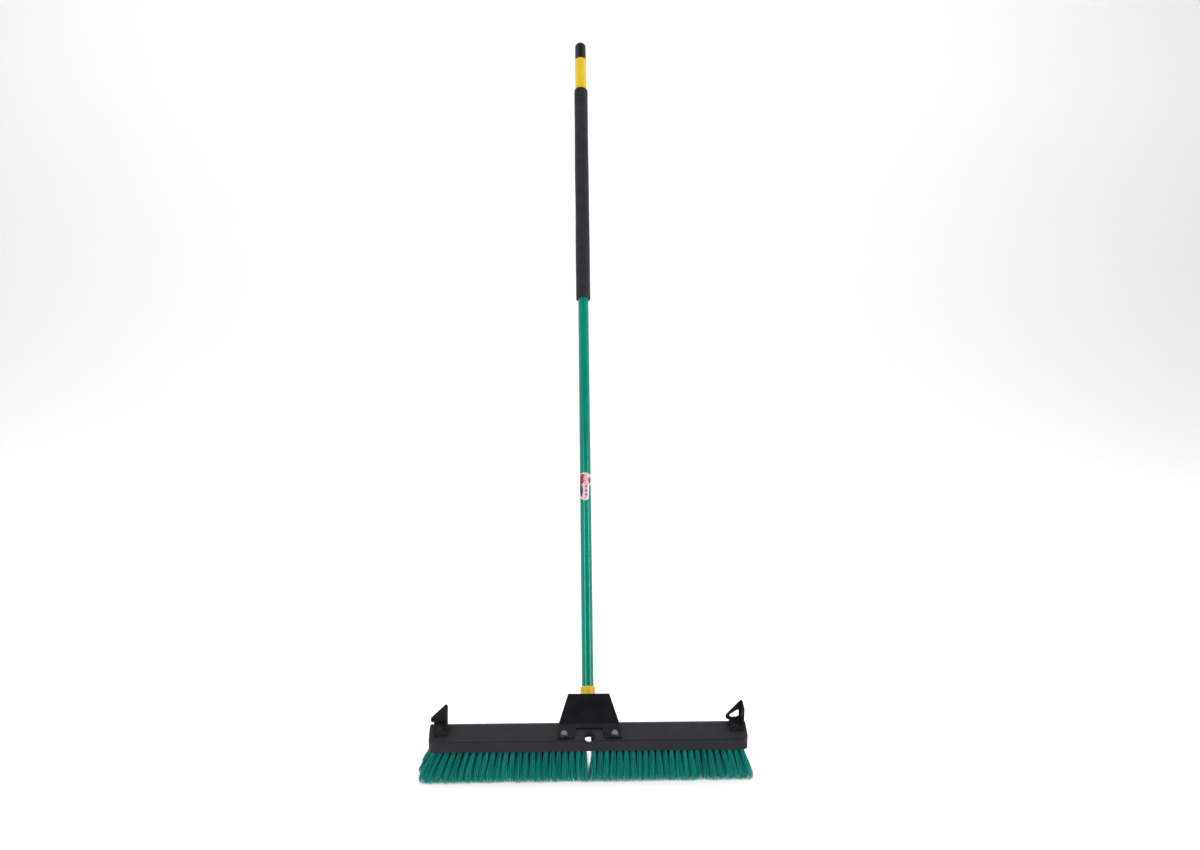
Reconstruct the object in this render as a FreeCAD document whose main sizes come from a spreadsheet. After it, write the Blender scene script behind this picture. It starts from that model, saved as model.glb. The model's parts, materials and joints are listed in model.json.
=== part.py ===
import FreeCAD, Part
import math
import os
import Sketcher

# Push broom with a roof-shaped block, a folded steel handle bracket and a screw-in handle.
# Row frame: X runs along the block, +Y is the side the handle leans to, Z is up, and the
# origin lies on the floor under the middle of the block. Millimetres and degrees.

doc = FreeCAD.newDocument("push_broom")
sheet = doc.addObject("Spreadsheet::Sheet", "Sizes")

SIZES = {
    # block
    "block_length": 580,
    "block_depth": 72,
    "block_side": 19.6,
    "ridge_width": 6,
    "roof_angle": 29,
    "corner_radius": 11,
    "shoulder_radius": 3,
    "mouth_offset": 10.2,
    "thread_radius": 9.6,
    "mouth_radius": 11.8,
    "mouth_depth": 2.5,
    "hole_depth": 40,
    "pilot_length": 16,
    "hook_pilot_length": 15,
    "well_length": 28,
    "well_width": 46,
    "well_depth": 16,
    # bristles
    "bristle_length": 57,
    "tuft_pitch": 11.7,
    "first_tuft": 8.6,
    "outer_row_tufts": 24,
    "row_spacing": 14.6,
    "tuft_hole_radius": 3.8,
    "tuft_hole_depth": 10.5,
    "tuft_gap": 0.3,
    "tuft_tip_radius": 5.1,
    "end_flare": 14,
    "centre_lean": 3,
    "lean_reach": 20,
    "side_flare": 5,
    "anchor_length": 7,
    "anchor_width": 0.6,
    "anchor_height": 1.2,
    # handle bracket
    "sheet_thickness": 2.8,
    "standoff": 33.3,
    "flange_height": 51,
    "flange_reach": 23,
    "foot_length": 31.5,
    "plate_top_width": 72.8,
    "plate_bend_width": 112,
    "foot_end_width": 119,
    "arch_top_width": 47.5,
    "arch_end_width": 59,
    "arch_height": 23,
    "bend_radius": 2.5,
    "passage_gap": 0.5,
    "screw_hole_gap": 0.2,
    "screw_spacing": 92,
    "bracket_screw_offset": 12.4,
    # hex screws
    "shank_radius": 3.1,
    "shank_gap": 0.05,
    "shank_length": 15,
    "head_circumradius": 5.5,
    "head_height": 4.2,
    "washer_radius": 6.4,
    "washer_height": 1.1,
    # corner hooks
    "hook_right_edge": 284,
    "hook_left_edge": -257,
    "hook_wall": 3,
    "hook_foot_width": 25,
    "hook_foot_height": 5.7,
    "hook_right_foot": 18.7,
    "hook_left_foot": 13.5,
    "hook_back": 2,
    "hook_front": -19,
    "hook_right_peak": 136,
    "hook_left_peak": 133,
    "hook_kink_drop": 9.6,
    "hook_nose_top": 107.4,
    "hook_nose_low": 101.2,
    "hook_nose_reach": 31.4,
    "hook_stem_width": 22.8,
    "hook_nose_radius": 3,
    "hook_peak_width": 4.5,
    "hook_peak_chamfer": 2.5,
    "window_side": 7,
    "window_top": 18,
    "window_top_width": 3,
    "window_reach": 25,
    "window_foot": 2.5,
    "window_foot_left": 22,
    "window_foot_right": 12,
    "window_step": 5,
    "eye_radius": 3.4,
    "eye_depth": 9,
    "eye_drop": 5,
    "hook_screw_offset": 27.5,
    "hook_screw_radius": 2,
    "hook_screw_head": 3.6,
    "hook_screw_head_height": 1.6,
    "hook_screw_length": 14,
    "hook_sink_depth": 2,
    # handle
    "tube_radius": 11.1,
    "tube_wall": 1.1,
    "tube_start": 3,
    "tube_end": 1513,
    "tip_gap": 0.07,
    "tip_flange_start": 0.5,
    "tip_thread_length": 22,
    "thread_pitch": 5.08,
    "thread_depth": 1.2,
    "crest_start": 1.2,
    "crest_end": 2.8,
    "flank_end": 4,
    "spigot_length": 38,
    "rivet_height": 20,
    "rivet_radius": 2.4,
    "rivet_head_radius": 4,
    "rivet_head_height": 1.4,
    "collar_radius": 14.1,
    "collar_height": 16.4,
    "collar_shoulder": 2,
    "seat_gap": 0.3,
    "running_gap": 0.05,
    "grip_start": 885.6,
    "grip_end": 1432,
    "grip_radius": 15.7,
    "grip_top_round": 3,
    "grip_foot_round": 1,
    "sleeve_start": 1433,
    "sleeve_end": 1518,
    "sleeve_radius": 13.2,
    "sleeve_foot_round": 1.2,
    "sleeve_top_round": 0.8,
    "lip_height": 3,
    "tube_end_gap": 0.1,
    "cap_radius": 12.7,
    "cap_height": 48.7,
    "cap_neck_radius": 6.5,
    "cap_barb": 2,
    "cap_barb_length": 8,
    "cap_lead": 1,
    "cap_crown_radius": 1.5,
    "cap_foot_round": 1.5,
    "hang_hole_radius": 5,
    "hang_hole_height": 32,
    "label_start": 431,
    "label_end": 489,
    "label_thickness": 0.25,
    "label_wrap": 210,
}
for line, (alias, number) in enumerate(SIZES.items(), 1):
    sheet.set(f"A{line}", alias)
    sheet.set(f"B{line}", str(number))
    sheet.setAlias(f"B{line}", alias)
doc.recompute()

FRONT, BACK = -1, 1
ANGLE = "Sizes.roof_angle * 1 deg"
ROWS = 5
# lengths that cutting shapes run on past the solid they cut, and the tolerance of edge tests
OVERRUN = "5"
LONG_OVERRUN = "12"
CLOSE = 0.01


def size(alias):
    return float(sheet.get(alias))


SLOPE = math.radians(size("roof_angle"))
UNDERSIDE = size("bristle_length")
SHOULDER = UNDERSIDE + size("block_side")


def on_slope(side, offset, x=0):
    """Placement on a slope, offset up from its shoulder, with its local Z out of the slope."""
    y = side * (size("block_depth") / 2 - offset * math.cos(SLOPE))
    z = SHOULDER + offset * math.sin(SLOPE)
    tilt = FreeCAD.Rotation(FreeCAD.Vector(1, 0, 0), -side * size("roof_angle"))
    return FreeCAD.Placement(FreeCAD.Vector(x, y, z), tilt)


# The handle stands square on the back slope: local Z runs up the handle from the slope.
HANDLE = on_slope(BACK, size("mouth_offset"))


# ---- helpers ---------------------------------------------------------------------------

def new_body(label, place=None):
    body = doc.addObject("PartDesign::Body", label)
    body.Label = label
    if place is not None:
        body.Placement = place
    return body


def new_sketch(body, name, role, offset="0"):
    sketch = body.newObject("Sketcher::SketchObject", name)
    plane = next(item for item in body.Origin.OriginFeatures if item.Role == role)
    sketch.AttachmentSupport = [(plane, "")]
    sketch.MapMode = "FlatFace"
    sketch.setExpression("AttachmentOffset.Base.z", offset)
    return sketch


def value(sketch, expression):
    return float(sketch.evalExpression(expression))


def pin_point(sketch, geometry, point, corner):
    """Bind one point of the sketch to a pair of expressions."""
    for kind, expression in zip(("DistanceX", "DistanceY"), corner):
        number = value(sketch, expression)
        index = sketch.addConstraint(Sketcher.Constraint(kind, -1, 1, geometry, point, number))
        sketch.setExpression(f"Constraints[{index}]", expression)


def outline(sketch, corners):
    """Closed polygon whose corners are pairs of expressions."""
    points = [FreeCAD.Vector(value(sketch, x), value(sketch, y), 0) for x, y in corners]
    lines = [sketch.addGeometry(Part.LineSegment(start, end))
             for start, end in zip(points, points[1:] + points[:1])]
    for line, following in zip(lines, lines[1:] + lines[:1]):
        sketch.addConstraint(Sketcher.Constraint("Coincident", line, 2, following, 1))
    for line, corner in zip(lines, corners):
        pin_point(sketch, line, 1, corner)


def circle(sketch, centre, radius):
    middle = FreeCAD.Vector(value(sketch, centre[0]), value(sketch, centre[1]), 0)
    ring = Part.Circle(middle, FreeCAD.Vector(0, 0, 1), value(sketch, radius))
    geometry = sketch.addGeometry(ring)
    index = sketch.addConstraint(Sketcher.Constraint("Radius", geometry, value(sketch, radius)))
    sketch.setExpression(f"Constraints[{index}]", radius)
    pin_point(sketch, geometry, 3, centre)


def pad(body, sketch, length, symmetric=False):
    feature = body.newObject("PartDesign::Pad", f"{sketch.Name}_pad")
    feature.Profile = sketch
    feature.setExpression("Length", length)
    if symmetric:
        feature.SideType = "Symmetric"
    doc.recompute()


def pocket(body, sketch, length=None, reverse=False):
    """Cut the sketch to a depth, or right through both ways; it must take material away."""
    before = body.Shape.Volume
    feature = body.newObject("PartDesign::Pocket", f"{sketch.Name}_pocket")
    feature.Profile = sketch
    feature.Reversed = reverse
    if length is None:
        feature.Type = "ThroughAll"
        feature.SideType = "Symmetric"
    else:
        feature.setExpression("Length", length)
    doc.recompute()
    assert body.Shape.Volume < before - CLOSE, f"{sketch.Name} cuts nothing"
    return feature


def round_edges(body, name, radius, wanted):
    """Fillet the edges of the body, in its own frame, that the test function picks."""
    base = body.Tip
    names = [f"Edge{number}" for number, edge in enumerate(base.Shape.Edges, 1) if wanted(edge)]
    assert names, f"{name} finds no edge"
    feature = body.newObject("PartDesign::Fillet", name)
    feature.Base = (base, names)
    feature.setExpression("Radius", radius)
    doc.recompute()


def turned(label, corners, place=HANDLE, angle="360"):
    """Body turned about its local Z from an outline of (radius, height) expressions."""
    body = new_body(label, place)
    sketch = new_sketch(body, f"{label}_profile", "XZ_Plane")
    outline(sketch, corners)
    feature = body.newObject("PartDesign::Revolution", f"{label}_turn")
    feature.Profile = sketch
    feature.ReferenceAxis = (sketch, ["V_Axis"])
    feature.setExpression("Angle", angle)
    doc.recompute()
    return body


def ring_edge(radius, height):
    """Test for a full circle of this radius about local Z at this height."""
    def wanted(edge):
        if not isinstance(edge.Curve, Part.Circle):
            return False
        centre = edge.Curve.Center
        on_axis = math.hypot(centre.x, centre.y) < CLOSE
        return on_axis and abs(edge.Curve.Radius - radius) < CLOSE and abs(centre.z - height) < CLOSE
    return wanted


def drill(name, radius, depth, place, above="0"):
    """Cylinder from a height above the placement down to a depth below it."""
    tool = doc.addObject("Part::Cylinder", name)
    tool.setExpression("Radius", radius)
    tool.setExpression("Height", f"{depth} + {above}")
    down = FreeCAD.Placement(FreeCAD.Vector(0, 0, -value(tool, depth)), FreeCAD.Rotation())
    tool.Placement = place.multiply(down)
    return tool


def cut(label, base, tools):
    group = doc.addObject("Part::Compound", f"{label}_tools")
    group.Links = tools
    result = doc.addObject("Part::Cut", f"{label}_cut")
    result.Base = base
    result.Tool = group
    result.Label = label
    base.Label = f"{label}_blank"
    return result


def solid_group(label, solids):
    feature = doc.addObject("Part::Feature", label)
    feature.Label = label
    feature.Shape = Part.makeCompound(solids)
    return feature


# ---- block and bristles ----------------------------------------------------------------

def tuft_columns(row):
    """First column and count on each side. The outer rows are full. The rows next to them sit
    between their columns, and the three inner rows leave room for the well in the middle."""
    skipped = 0
    if row % 2:
        skipped = 1.5
    elif row not in (0, ROWS - 1):
        skipped = 1
    first = size("first_tuft") + skipped * size("tuft_pitch")
    return first, int(size("outer_row_tufts")) - math.ceil(skipped)


def row_position(row):
    return (row - (ROWS - 1) / 2) * size("row_spacing")


def tuft_hole_row(body, row, side, side_name):
    first, count = tuft_columns(row)
    name = f"tuft_holes_{row + 1}_{side_name}"
    sketch = new_sketch(body, name, "XY_Plane", "Sizes.bristle_length")
    circle(sketch, (str(side * first), str(row_position(row))), "Sizes.tuft_hole_radius")
    hole = pocket(body, sketch, "Sizes.tuft_hole_depth", reverse=True)
    pattern = body.newObject("PartDesign::LinearPattern", f"{name}_pattern")
    pattern.Originals = [hole]
    pattern.Direction = (sketch, ["H_Axis"])
    pattern.Reversed = side < 0
    pattern.Occurrences = count
    pattern.setExpression("Length", f"Sizes.tuft_pitch * {count - 1}")
    body.Tip = pattern
    doc.recompute()


def block():
    """Rounded bar with two slopes cut along its top, then every hole."""
    body = new_body("block_blank")
    half = "Sizes.block_depth / 2"
    ridge = "Sizes.ridge_width / 2"
    shoulder = "Sizes.bristle_length + Sizes.block_side"
    rise = f"(Sizes.block_depth - Sizes.ridge_width) / 2 * tan({ANGLE})"
    plan = new_sketch(body, "block_plan", "XY_Plane", "Sizes.bristle_length")
    end = "Sizes.block_length / 2"
    outline(plan, [(f"-{end}", f"-{half}"), (end, f"-{half}"), (end, half), (f"-{end}", half)])
    pad(body, plan, f"Sizes.block_side + {rise}")

    def end_corner(edge):
        return edge.BoundBox.XLength < CLOSE and edge.BoundBox.YLength < CLOSE

    round_edges(body, "block_corners", "Sizes.corner_radius", end_corner)

    roof = new_sketch(body, "block_roof", "YZ_Plane")
    clear_out, clear_up = f"{half} + {OVERRUN}", f"{shoulder} + {rise} + {OVERRUN}"
    for side in ("-", ""):
        outline(roof, [
            (f"{side}({half})", shoulder), (f"{side}({ridge})", f"{shoulder} + {rise}"),
            (f"{side}({ridge})", clear_up), (f"{side}({clear_out})", clear_up),
            (f"{side}({clear_out})", shoulder)])
    pocket(body, roof)

    def top_edge(edge):
        return edge.BoundBox.ZMin > UNDERSIDE + CLOSE

    round_edges(body, "block_shoulders", "Sizes.shoulder_radius", top_edge)

    well = new_sketch(body, "block_well", "XY_Plane", "Sizes.bristle_length")
    x, y = "Sizes.well_length / 2", "Sizes.well_width / 2"
    outline(well, [(f"-{x}", f"-{y}"), (x, f"-{y}"), (x, y), (f"-{x}", y)])
    pocket(body, well, "Sizes.well_depth", reverse=True)

    for row in range(ROWS):
        tuft_hole_row(body, row, -1, "left")
        tuft_hole_row(body, row, 1, "right")

    tools = []
    for side, name in ((FRONT, "spare"), (BACK, "handle")):
        mouth = on_slope(side, size("mouth_offset"))
        tools.append(drill(f"{name}_hole", "Sizes.thread_radius", "Sizes.hole_depth", mouth, OVERRUN))
        tools.append(countersink(f"{name}_mouth", mouth))
    for place in bracket_screw_places():
        tools.append(drill("bracket_pilot", "Sizes.shank_radius + Sizes.shank_gap",
                           "Sizes.pilot_length", place, OVERRUN))
    for place in hook_screw_places():
        tools.append(drill("hook_pilot", "Sizes.hook_screw_radius + Sizes.shank_gap",
                           "Sizes.hook_pilot_length", place, OVERRUN))
    return cut("block", body, tools)


def countersink(name, mouth):
    """Cone from the thread up to the wide mouth, carried on a little above the slope."""
    tool = doc.addObject("Part::Cone", name)
    growth = "(Sizes.mouth_radius - Sizes.thread_radius) / Sizes.mouth_depth"
    tool.setExpression("Radius1", "Sizes.thread_radius")
    tool.setExpression("Radius2", f"Sizes.mouth_radius + {OVERRUN} * {growth}")
    tool.setExpression("Height", f"Sizes.mouth_depth + {OVERRUN}")
    down = FreeCAD.Placement(FreeCAD.Vector(0, 0, -size("mouth_depth")), FreeCAD.Rotation())
    tool.Placement = mouth.multiply(down)
    return tool


def tip_shift(x, y):
    """How far a tuft's tip stands out from its root: fanned out at the block's ends and
    sides, and leaning in over the gap in the middle."""
    last = size("first_tuft") + (size("outer_row_tufts") - 1) * size("tuft_pitch")
    reach = abs(x)
    along = size("end_flare") * (reach / last) ** 4
    along -= size("centre_lean") * math.exp((size("first_tuft") - reach) / size("lean_reach"))
    across = size("side_flare") * y / row_position(ROWS - 1)
    return math.copysign(along, x), across


def tuft(x, y):
    root = size("tuft_hole_radius") - size("tuft_gap")
    up = FreeCAD.Vector(0, 0, 1)
    shift_x, shift_y = tip_shift(x, y)
    neck = FreeCAD.Vector(x, y, UNDERSIDE)
    tip = FreeCAD.Vector(x + shift_x, y + shift_y, 0)
    rings = [Part.Wire(Part.Circle(tip, up, size("tuft_tip_radius")).toShape()),
             Part.Wire(Part.Circle(neck, up, root).toShape())]
    spread = Part.makeLoft(rings, True, True)
    stem_height = size("tuft_hole_depth") - size("anchor_height") - 2 * size("tuft_gap")
    stem = Part.makeCylinder(root, stem_height, neck)
    return spread.fuse(stem).removeSplitter()


def tuft_places(row, side):
    first, count = tuft_columns(row)
    return [(side * (first + size("tuft_pitch") * column), row_position(row))
            for column in range(count)]


def tuft_rows():
    rows = []
    for row in range(ROWS):
        for side, side_name in ((-1, "left"), (1, "right")):
            tufts = [tuft(x, y) for x, y in tuft_places(row, side)]
            rows.append(solid_group(f"tuft_row_{row + 1}_{side_name}", tufts))
    return rows


def tuft_anchors():
    """Flat wire anchors that hold the folded tufts at the bottom of their holes."""
    length, width, height = size("anchor_length"), size("anchor_width"), size("anchor_height")
    low = UNDERSIDE + size("tuft_hole_depth") - height - size("tuft_gap") / 3
    plates = []
    for row in range(ROWS):
        for side in (-1, 1):
            for x, y in tuft_places(row, side):
                corner = FreeCAD.Vector(x - length / 2, y - width / 2, low)
                plates.append(Part.makeBox(length, width, height, corner))
    return solid_group("tuft_anchors", plates)


# ---- handle bracket --------------------------------------------------------------------

def bracket_screw_places():
    half = size("screw_spacing") / 2
    return [on_slope(FRONT, size("bracket_screw_offset"), x) for x in (-half, half)]


def handle_bracket():
    """Folded sheet in the handle's frame: a foot on the front slope, a plate parallel to the
    handle and a top flange that the handle goes through."""
    body = new_body("bracket_blank", HANDLE)
    sheet_side = "Sizes.sheet_thickness"
    cosine, sine = f"cos(2 * {ANGLE})", f"sin(2 * {ANGLE})"
    # distance of the front slope's plane from the handle's origin, along that slope's normal
    run = "(Sizes.block_depth - 2 * Sizes.mouth_offset * cos({0})) * sin({0})".format(ANGLE)
    inner, outer = "-Sizes.standoff", f"-(Sizes.standoff + {sheet_side})"
    bend_in = f"({run} - {sine} * Sizes.standoff) / {cosine}"
    bend_out = f"({run} + {sheet_side} - {sine} * (Sizes.standoff + {sheet_side})) / {cosine}"
    toe_y = f"{inner} - {cosine} * Sizes.foot_length"
    toe_z = f"{bend_in} - {sine} * Sizes.foot_length"
    profile = new_sketch(body, "bracket_profile", "YZ_Plane")
    outline(profile, [
        ("Sizes.flange_reach", f"Sizes.flange_height - {sheet_side}"),
        (inner, f"Sizes.flange_height - {sheet_side}"),
        (inner, bend_in),
        (toe_y, toe_z),
        (f"{toe_y} - {sine} * {sheet_side}", f"{toe_z} + {cosine} * {sheet_side}"),
        (outer, bend_out),
        (outer, "Sizes.flange_height"),
        ("Sizes.flange_reach", "Sizes.flange_height"),
    ])
    pad(body, profile, "Sizes.foot_end_width", symmetric=True)

    top = size("flange_height")
    low_bend = value(profile, bend_out)

    def outer_bend(edge):
        box = edge.BoundBox
        along = abs(box.XLength - size("foot_end_width")) < CLOSE
        outer_side = box.YMin < -size("standoff") - CLOSE
        at_bend = min(abs(box.ZMin - top), abs(box.ZMin - low_bend)) < CLOSE
        return along and outer_side and at_bend

    round_edges(body, "bracket_bends", "Sizes.bend_radius", outer_bend)

    trim = new_sketch(body, "bracket_trim", "XZ_Plane")
    margin = "Sizes.foot_end_width"
    above, below = f"Sizes.flange_height + {LONG_OVERRUN}", f"{toe_z} - {LONG_OVERRUN}"
    outline(trim, [(f"-{margin}", below), (margin, below), (margin, above), (f"-{margin}", above)])
    half_top, half_bend = "Sizes.plate_top_width / 2", "Sizes.plate_bend_width / 2"
    half_toe, half_arch = "Sizes.foot_end_width / 2", "Sizes.arch_end_width / 2"
    toe_low, top_high = f"{toe_z} - {OVERRUN}", f"Sizes.flange_height + {OVERRUN}"
    outline(trim, [
        (f"-{half_toe}", toe_low), (f"-{half_arch}", toe_low),
        ("-Sizes.arch_top_width / 2", f"{toe_z} + Sizes.arch_height * {sine}"),
        ("Sizes.arch_top_width / 2", f"{toe_z} + Sizes.arch_height * {sine}"),
        (half_arch, toe_low), (half_toe, toe_low),
        (half_bend, bend_in), (half_top, top_high), (f"-{half_top}", top_high),
        (f"-{half_bend}", bend_in),
    ])
    pocket(body, trim)

    passage = new_sketch(body, "bracket_passage", "XY_Plane")
    circle(passage, ("0", "0"), "Sizes.tube_radius + Sizes.passage_gap")
    pocket(body, passage)

    tools = [drill("bracket_screw_hole", "Sizes.shank_radius + Sizes.screw_hole_gap",
                   OVERRUN, place, LONG_OVERRUN) for place in bracket_screw_places()]
    return cut("handle_bracket", body, tools)


def bracket_screws():
    """Hex washer-head screws through the bracket's feet into the block."""
    screws = []
    foot = size("sheet_thickness")
    for number, place in enumerate(bracket_screw_places(), 1):
        shank = drill(f"screw_shank_{number}", "Sizes.shank_radius", "Sizes.shank_length",
                      place, "Sizes.sheet_thickness + Sizes.washer_height")
        washer = doc.addObject("Part::Cylinder", f"screw_washer_{number}")
        washer.setExpression("Radius", "Sizes.washer_radius")
        washer.setExpression("Height", "Sizes.washer_height")
        washer.Placement = place.multiply(lift(foot))
        head = doc.addObject("Part::Prism", f"screw_head_{number}")
        head.Polygon = 6
        head.setExpression("Circumradius", "Sizes.head_circumradius")
        head.setExpression("Height", "Sizes.head_height")
        head.Placement = place.multiply(lift(foot + size("washer_height")))
        screw = doc.addObject("Part::MultiFuse", f"bracket_screw_{number}")
        screw.Shapes = [shank, washer, head]
        screws.append(screw)
    group = doc.addObject("Part::Compound", "bracket_screws")
    group.Label = "bracket_screws"
    group.Links = screws
    return group


def lift(height):
    return FreeCAD.Placement(FreeCAD.Vector(0, 0, height), FreeCAD.Rotation())


# ---- corner hooks ----------------------------------------------------------------------

def hook_screw_places():
    middle = (size("hook_foot_width") + size("hook_wall")) / 2
    return [on_slope(FRONT, size("hook_screw_offset"), size(edge) - middle)
            for edge in ("hook_left_edge", "hook_right_edge")]


def slope_height(y):
    """Expression for the height of the front slope under a Y expression."""
    shoulder = "Sizes.bristle_length + Sizes.block_side"
    return f"{shoulder} + ({y} + Sizes.block_depth / 2) * tan({ANGLE})"


def corner_hook(label, side, screw_place, windowed):
    """Hook standing on the front slope: a foot, a side wall across the block and a pointed
    back wall along the ridge that ends in a nose on the left."""
    body = new_body(f"{label}_blank")
    right, peak = f"Sizes.hook_{side}_edge", f"Sizes.hook_{side}_peak"
    kink = f"{peak} - Sizes.hook_kink_drop"
    toe = f"-Sizes.block_depth / 2 + Sizes.hook_{side}_foot * cos({ANGLE})"
    ridge_front = "-Sizes.ridge_width / 2"
    rise = f"Sizes.hook_foot_height / cos({ANGLE})"
    back = "Sizes.hook_back"
    foot = new_sketch(body, f"{label}_foot", "YZ_Plane", f"{right} - Sizes.hook_foot_width")
    low, top = slope_height(toe), slope_height(ridge_front)
    outline(foot, [(toe, low), (ridge_front, top), (back, top), (back, f"{top} + {rise}"),
                   (ridge_front, f"{top} + {rise}"), (toe, f"{low} + {rise}")])
    pad(body, foot, "Sizes.hook_foot_width")

    wall = new_sketch(body, f"{label}_side", "YZ_Plane", f"{right} - Sizes.hook_wall")
    front, wall_top = "Sizes.hook_front", f"{peak} - Sizes.hook_peak_chamfer"
    outline(wall, [
        (front, slope_height(front)), (ridge_front, top), (back, top), (back, wall_top),
        (f"{back} - Sizes.hook_wall", wall_top), (front, kink)])
    pad(body, wall, "Sizes.hook_wall")

    rear = new_sketch(body, f"{label}_back", "XZ_Plane", f"-{back}")
    nose = f"{right} - Sizes.hook_nose_reach"
    stem = f"{right} - Sizes.hook_stem_width"
    outline(rear, [
        (right, top), (right, wall_top), (f"{right} - Sizes.hook_peak_chamfer", peak),
        (f"{right} - Sizes.hook_peak_width", peak),
        (nose, "Sizes.hook_nose_top"), (f"{nose} + 1", "Sizes.hook_nose_low"),
        (f"{stem} - 4", "Sizes.hook_nose_low - 2"), (stem, "Sizes.hook_nose_low + 1"), (stem, top),
    ])
    pad(body, rear, "Sizes.hook_wall")

    nose_x, nose_z = size(f"hook_{side}_edge") - size("hook_nose_reach"), size("hook_nose_top")

    def nose_corner(piece):
        box = piece.BoundBox
        level = box.XLength < CLOSE and box.ZLength < CLOSE
        return level and abs(box.XMin - nose_x) < CLOSE and abs(box.ZMin - nose_z) < CLOSE

    round_edges(body, f"{label}_nose", "Sizes.hook_nose_radius", nose_corner)

    if windowed:
        hook_window(body, label, right, peak)
    eye = new_sketch(body, f"{label}_eye", "YZ_Plane", right)
    circle(eye, ("-Sizes.eye_depth", f"{kink} - Sizes.eye_drop"), "Sizes.eye_radius")
    pocket(body, eye, "Sizes.hook_wall")

    hole = drill(f"{label}_screw_hole", "Sizes.hook_screw_radius + Sizes.screw_hole_gap",
                 OVERRUN, screw_place, LONG_OVERRUN)
    sink = drill(f"{label}_screw_sink", "Sizes.hook_screw_head + Sizes.screw_hole_gap",
                 "0", screw_place, LONG_OVERRUN)
    sink.Placement = screw_place.multiply(lift(size("hook_foot_height") - size("hook_sink_depth")))
    return cut(label, body, [hole, sink])


def hook_window(body, label, right, peak):
    """Opening through the hook's pointed back wall."""
    side = f"{right} - Sizes.window_side"
    top = f"{peak} - Sizes.window_top"
    foot = "Sizes.hook_nose_low + Sizes.window_foot"
    window = new_sketch(body, f"{label}_window", "XZ_Plane")
    outline(window, [
        (side, f"{foot} + Sizes.window_foot"), (side, f"{top} - 1"),
        (f"{side} - Sizes.window_top_width", top),
        (f"{right} - Sizes.window_reach", f"{foot} + Sizes.window_step"),
        (f"{right} - Sizes.window_foot_left", foot), (f"{right} - Sizes.window_foot_right", foot)])
    pocket(body, window)


def hook_screws():
    screws = []
    for number, place in enumerate(hook_screw_places(), 1):
        shank = drill(f"hook_shank_{number}", "Sizes.hook_screw_radius", "Sizes.hook_screw_length",
                      place, "Sizes.hook_foot_height - Sizes.hook_sink_depth")
        head = doc.addObject("Part::Cylinder", f"hook_screw_head_{number}")
        head.setExpression("Radius", "Sizes.hook_screw_head")
        head.setExpression("Height", "Sizes.hook_screw_head_height")
        head.Placement = place.multiply(lift(size("hook_foot_height") - size("hook_sink_depth")))
        screw = doc.addObject("Part::MultiFuse", f"hook_screw_{number}")
        screw.Shapes = [shank, head]
        screws.append(screw)
    group = doc.addObject("Part::Compound", "hook_screws")
    group.Label = "hook_screws"
    group.Links = screws
    return group


# ---- handle ----------------------------------------------------------------------------

def threaded_tip():
    """Threaded end: ring grooves stand for the thread, and a spigot goes up into the tube."""
    crest = "Sizes.thread_radius - Sizes.tip_gap"
    root = f"{crest} - Sizes.thread_depth"
    low = "-Sizes.tip_thread_length"
    corners = [("0", low), (root, low)]
    turns = int(size("tip_thread_length") / size("thread_pitch"))
    for turn in range(turns):
        base = f"{low} + {turn} * Sizes.thread_pitch"
        corners += [(crest, f"{base} + Sizes.crest_start"), (crest, f"{base} + Sizes.crest_end"),
                    (root, f"{base} + Sizes.flank_end")]
    bore = "Sizes.tube_radius - Sizes.tube_wall - Sizes.running_gap"
    top = "Sizes.tube_start + Sizes.spigot_length"
    corners += [(root, "Sizes.tip_flange_start"), ("Sizes.tube_radius", "Sizes.tip_flange_start"),
                ("Sizes.tube_radius", "Sizes.tube_start"), (bore, "Sizes.tube_start"),
                (bore, top), ("0", top)]
    tip = turned("tip_blank", corners)
    return cut("threaded_tip", tip, [rivet_hole("tip_rivet_hole")])


def rivet_hole(name):
    reach = "2 * Sizes.tube_radius"
    return drill(name, "Sizes.rivet_radius + Sizes.running_gap", reach, rivet_place(), reach)


def rivet_place():
    """Across the handle, with its local Z along the block."""
    across = FreeCAD.Rotation(FreeCAD.Vector(0, 1, 0), 90)
    return HANDLE.multiply(FreeCAD.Placement(FreeCAD.Vector(0, 0, size("rivet_height")), across))


def handle_tube():
    inner = "Sizes.tube_radius - Sizes.tube_wall"
    tube = turned("tube_blank", [
        (inner, "Sizes.tube_start"), ("Sizes.tube_radius", "Sizes.tube_start"),
        ("Sizes.tube_radius", "Sizes.tube_end"), (inner, "Sizes.tube_end")])
    return cut("handle_tube", tube, [rivet_hole("tube_rivet_hole")])


def handle_rivet():
    reach = "Sizes.tube_radius + Sizes.running_gap"
    head = f"{reach} + Sizes.rivet_head_height"
    return turned("handle_rivet", [
        ("0", f"-({head})"), ("Sizes.rivet_head_radius * 0.6", f"-({head})"),
        ("Sizes.rivet_head_radius", f"-({reach})"), ("Sizes.rivet_radius", f"-({reach})"),
        ("Sizes.rivet_radius", reach), ("Sizes.rivet_head_radius", reach),
        ("Sizes.rivet_head_radius * 0.6", head), ("0", head)], rivet_place())


def handle_collar():
    inner = "Sizes.tube_radius + Sizes.running_gap"
    low = "Sizes.flange_height + Sizes.seat_gap"
    top = f"{low} + Sizes.collar_height"
    body = turned("handle_collar", [
        (inner, low), ("Sizes.collar_radius", low), ("Sizes.collar_radius", top), (inner, top)])
    top_height = size("flange_height") + size("seat_gap") + size("collar_height")
    round_edges(body, "collar_rounding", "Sizes.collar_shoulder",
                ring_edge(size("collar_radius"), top_height))
    return body


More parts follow.
